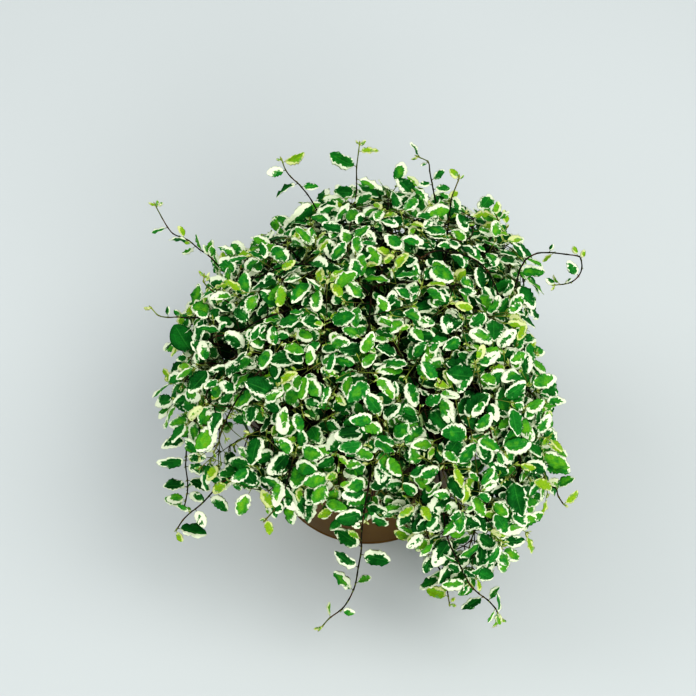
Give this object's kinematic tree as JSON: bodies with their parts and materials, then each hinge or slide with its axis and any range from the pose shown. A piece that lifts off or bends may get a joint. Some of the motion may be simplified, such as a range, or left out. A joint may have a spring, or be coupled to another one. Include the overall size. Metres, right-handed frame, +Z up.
{
  "type": "potted creeping fig",
  "caption": "Variegated creeping fig: a low dome of thin trailing stems with small cream-edged leaves, growing in a plain round tapered plastic pot.",
  "frame": {"origin": "centre of the underside of the pot, on the surface it stands on", "axes": "+Z up, -Y the front, +X to the right as seen from the front"},
  "size_m": [0.3274, 0.3374, 0.2605],
  "materials": {
    "pot": "satin moulded brown plastic",
    "soil": "dark moist potting mix of peat and bark",
    "foliage": "waxy leaf, green centre with an irregular cream margin, on thin brown woody stems"
  },
  "bodies": {
    "root": {"pot": "pot", "soil": "soil", "vine_01": "foliage", "vine_02": "foliage", "vine_03": "foliage", "vine_04": "foliage", "vine_05": "foliage", "vine_06": "foliage", "vine_07": "foliage", "vine_08": "foliage", "vine_09": "foliage", "vine_10": "foliage", "vine_11": "foliage", "vine_12": "foliage", "vine_13": "foliage", "vine_14": "foliage", "vine_15": "foliage", "vine_16": "foliage", "vine_17": "foliage", "vine_18": "foliage", "vine_19": "foliage", "vine_20": "foliage", "vine_21": "foliage", "vine_22": "foliage", "vine_23": "foliage", "vine_24": "foliage", "vine_25": "foliage", "vine_26": "foliage", "vine_27": "foliage", "vine_28": "foliage", "vine_29": "foliage", "vine_30": "foliage", "vine_31": "foliage", "vine_32": "foliage", "vine_33": "foliage", "vine_34": "foliage", "vine_35": "foliage", "vine_36": "foliage", "vine_37": "foliage", "vine_38": "foliage", "vine_39": "foliage", "vine_40": "foliage", "vine_41": "foliage", "vine_42": "foliage", "vine_43": "foliage", "vine_44": "foliage", "vine_45": "foliage", "vine_46": "foliage", "vine_47": "foliage", "vine_48": "foliage", "vine_49": "foliage", "vine_50": "foliage", "vine_51": "foliage", "vine_52": "foliage", "vine_53": "foliage", "vine_54": "foliage", "vine_55": "foliage", "vine_56": "foliage", "vine_57": "foliage", "vine_58": "foliage"}
  },
  "joints": []
}
